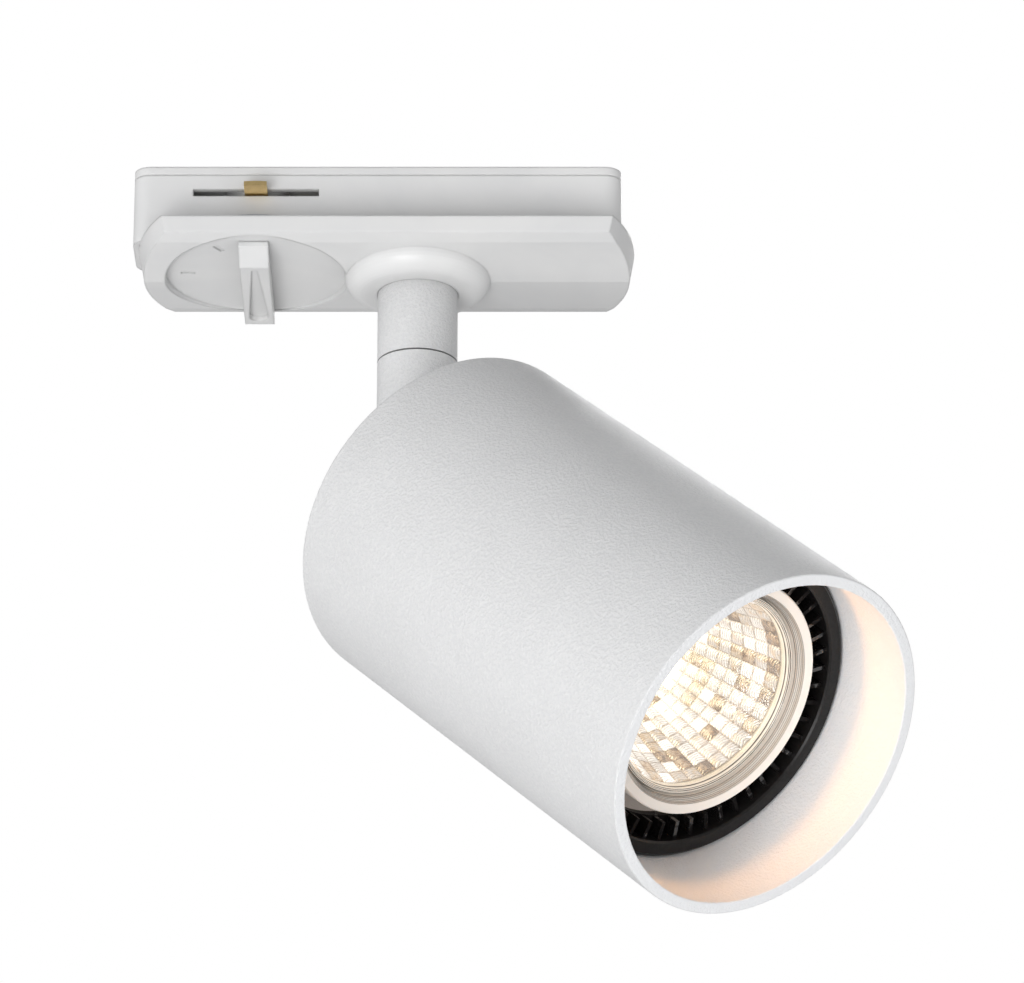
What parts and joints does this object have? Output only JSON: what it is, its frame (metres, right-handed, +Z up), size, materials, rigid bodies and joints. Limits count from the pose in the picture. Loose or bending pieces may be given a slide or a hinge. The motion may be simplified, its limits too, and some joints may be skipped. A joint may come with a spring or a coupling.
{
  "type": "track spotlight",
  "caption": "Cylindrical white spotlight on a swivelling, tilting stem under a track adapter with a lock lever, with a reflector lamp and a baffle ring.",
  "frame": {"origin": "on the stem axis, in the plane of the adapter's seat on the underside of the track", "axes": "+Z up into the track, +X along the track away from the lock lever, +Y across the track; at rest the head points 42.3 degrees from +X towards -Y and 39.6 degrees down"},
  "size_m": [0.1316, 0.098, 0.1465],
  "materials": {
    "powder_coat": "fine-textured matt white powder coat",
    "moulded_white": "satin white moulded plastic",
    "zinc_steel": "zinc-plated steel",
    "spring_steel": "bare spring steel",
    "brass": "plain brass",
    "ceramic": "unglazed steatite",
    "wire_sleeve": "insulated wire",
    "cable_sleeve": "heat-proof woven sleeve",
    "black_washer": "black nylon",
    "nylon": "natural nylon",
    "rubber": "black rubber",
    "lamp_glass": "clear pressed glass",
    "black_plastic": "satin black moulded plastic",
    "bright_rim": "aluminised pressed glass with fine rings"
  },
  "bodies": {
    "adapter": {"track_box": "moulded_white", "box_lid": "moulded_white", "lid_screws": "zinc_steel", "bottom_cover": "moulded_white", "cover_screws": "zinc_steel", "stem_upper": "powder_coat", "terminal_block": "ceramic", "terminal_screws": "brass", "feed_springs": "brass", "earth_spring": "spring_steel", "earth_screw": "zinc_steel", "supply_leads": "wire_sleeve"},
    "lever": {"lock_lever": "moulded_white", "lock_rotor": "moulded_white", "lock_wings": "spring_steel", "contact_blades": "brass", "lever_screw": "zinc_steel"},
    "swivel": {"stem_lower": "powder_coat", "swivel_tube": "zinc_steel", "retaining_ring": "spring_steel", "wave_washer": "spring_steel", "stop_pin": "zinc_steel", "seam_washer": "black_washer", "stem_cable": "cable_sleeve", "pivot_screw": "zinc_steel", "pivot_nut": "zinc_steel", "friction_washers": "nylon"},
    "head": {"tilt_lug": "powder_coat", "lug_nut": "zinc_steel", "tooth_washer": "spring_steel", "earth_tag": "brass", "cable_grommet": "rubber", "back_plate": "powder_coat", "head_tube": "powder_coat", "holder_bracket": "zinc_steel", "lamp_socket": "ceramic", "socket_screws": "zinc_steel", "socket_contacts": "brass", "head_cable": "cable_sleeve"},
    "lamp": {"lamp_base": "ceramic", "lamp_pins": "zinc_steel", "lamp_reflector": "lamp_glass", "lamp_burner": "lamp_glass", "lamp_glass": "lamp_glass", "lamp_rim": "bright_rim"},
    "ring": {"baffle_ring": "black_plastic", "ring_springs": "spring_steel"}
  },
  "joints": [
    {"name": "lever_turn", "type": "hinge", "parent": "adapter", "child": "lever", "pos_m": [-0.0283, 0, 0], "axis": [0, 0, 1], "range_deg": [0, 90]},
    {"name": "pan", "type": "hinge", "parent": "adapter", "child": "swivel", "pos_m": [0, 0, -0.0207], "axis": [0, 0, 1], "range_deg": [-122.7, 207.3]},
    {"name": "tilt", "type": "hinge", "parent": "swivel", "child": "head", "pos_m": [0, 0, -0.0454], "axis": [0.673, 0.7396, 0], "range_deg": [-39.6, 50.4]},
    {"name": "lamp_twist", "type": "hinge", "parent": "head", "child": "lamp", "pos_m": [0.00564, -0.00513, -0.05171], "axis": [0.5699, -0.5186, -0.6374], "range_deg": [0, 30]},
    {"name": "ring_pull", "type": "slide", "parent": "head", "child": "ring", "axis": [0.5699, -0.5186, -0.6374], "range_m": [0, 0.018]}
  ]
}
